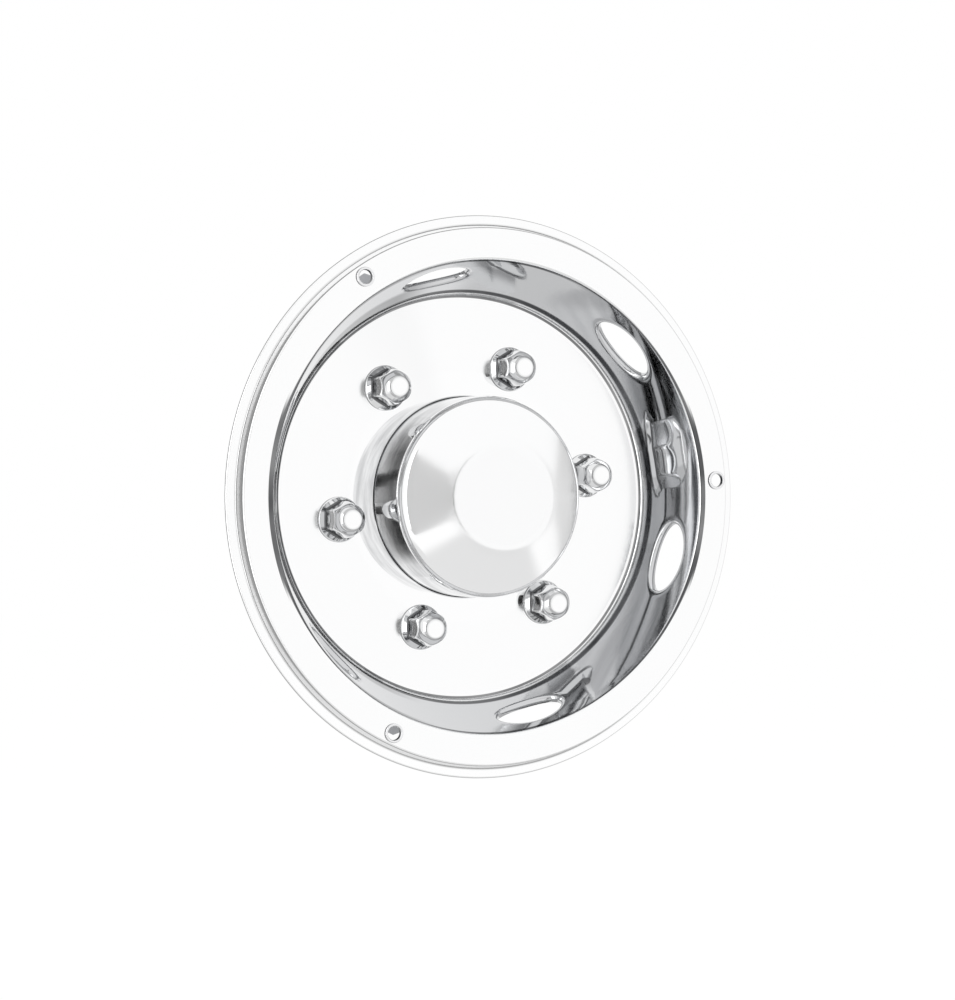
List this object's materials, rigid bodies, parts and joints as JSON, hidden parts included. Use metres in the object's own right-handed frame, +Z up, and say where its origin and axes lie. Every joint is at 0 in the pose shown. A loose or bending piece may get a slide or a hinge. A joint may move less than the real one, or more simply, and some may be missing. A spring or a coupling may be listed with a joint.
{
  "type": "truck wheel simulator",
  "caption": "Dished bright wheel simulator with rolled lip, oval hand holes, deep round hub cover, hexagonal nut covers, and spring clips behind the flange.",
  "frame": {"origin": "on the wheel's axis, in the plane of the back of the liner's disc, at the centre of the circle of wheel nuts", "axes": "+Y along the wheel's axis, inwards to the truck; the bright side faces -Y; +Z up; +X to the right as seen from the front"},
  "size_m": [0.4418, 0.0773, 0.4418],
  "materials": {
    "liner_stainless": "drawn stainless sheet, mirror-polished in the dish, softer on the flat faces",
    "cover_stainless": "deep-drawn stainless sheet, mirror-polished",
    "nut_cover_chrome": "bright chrome plating",
    "eyelet_steel": "bright nickel plating",
    "spring_steel": "satin grey phosphated spring steel"
  },
  "bodies": {
    "root": {"wheel_liner": "liner_stainless", "hub_cover": "cover_stainless", "lug_nut_cover_1": "nut_cover_chrome", "lug_nut_cover_2": "nut_cover_chrome", "lug_nut_cover_3": "nut_cover_chrome", "lug_nut_cover_4": "nut_cover_chrome", "lug_nut_cover_5": "nut_cover_chrome", "lug_nut_cover_6": "nut_cover_chrome", "nut_cover_retainer_1": "spring_steel", "nut_cover_retainer_2": "spring_steel", "nut_cover_retainer_3": "spring_steel", "nut_cover_retainer_4": "spring_steel", "nut_cover_retainer_5": "spring_steel", "nut_cover_retainer_6": "spring_steel", "rim_clip_1": "spring_steel", "rim_clip_2": "spring_steel", "rim_clip_3": "spring_steel", "clip_eyelet_1": "eyelet_steel", "clip_eyelet_2": "eyelet_steel", "clip_eyelet_3": "eyelet_steel"}
  },
  "joints": []
}
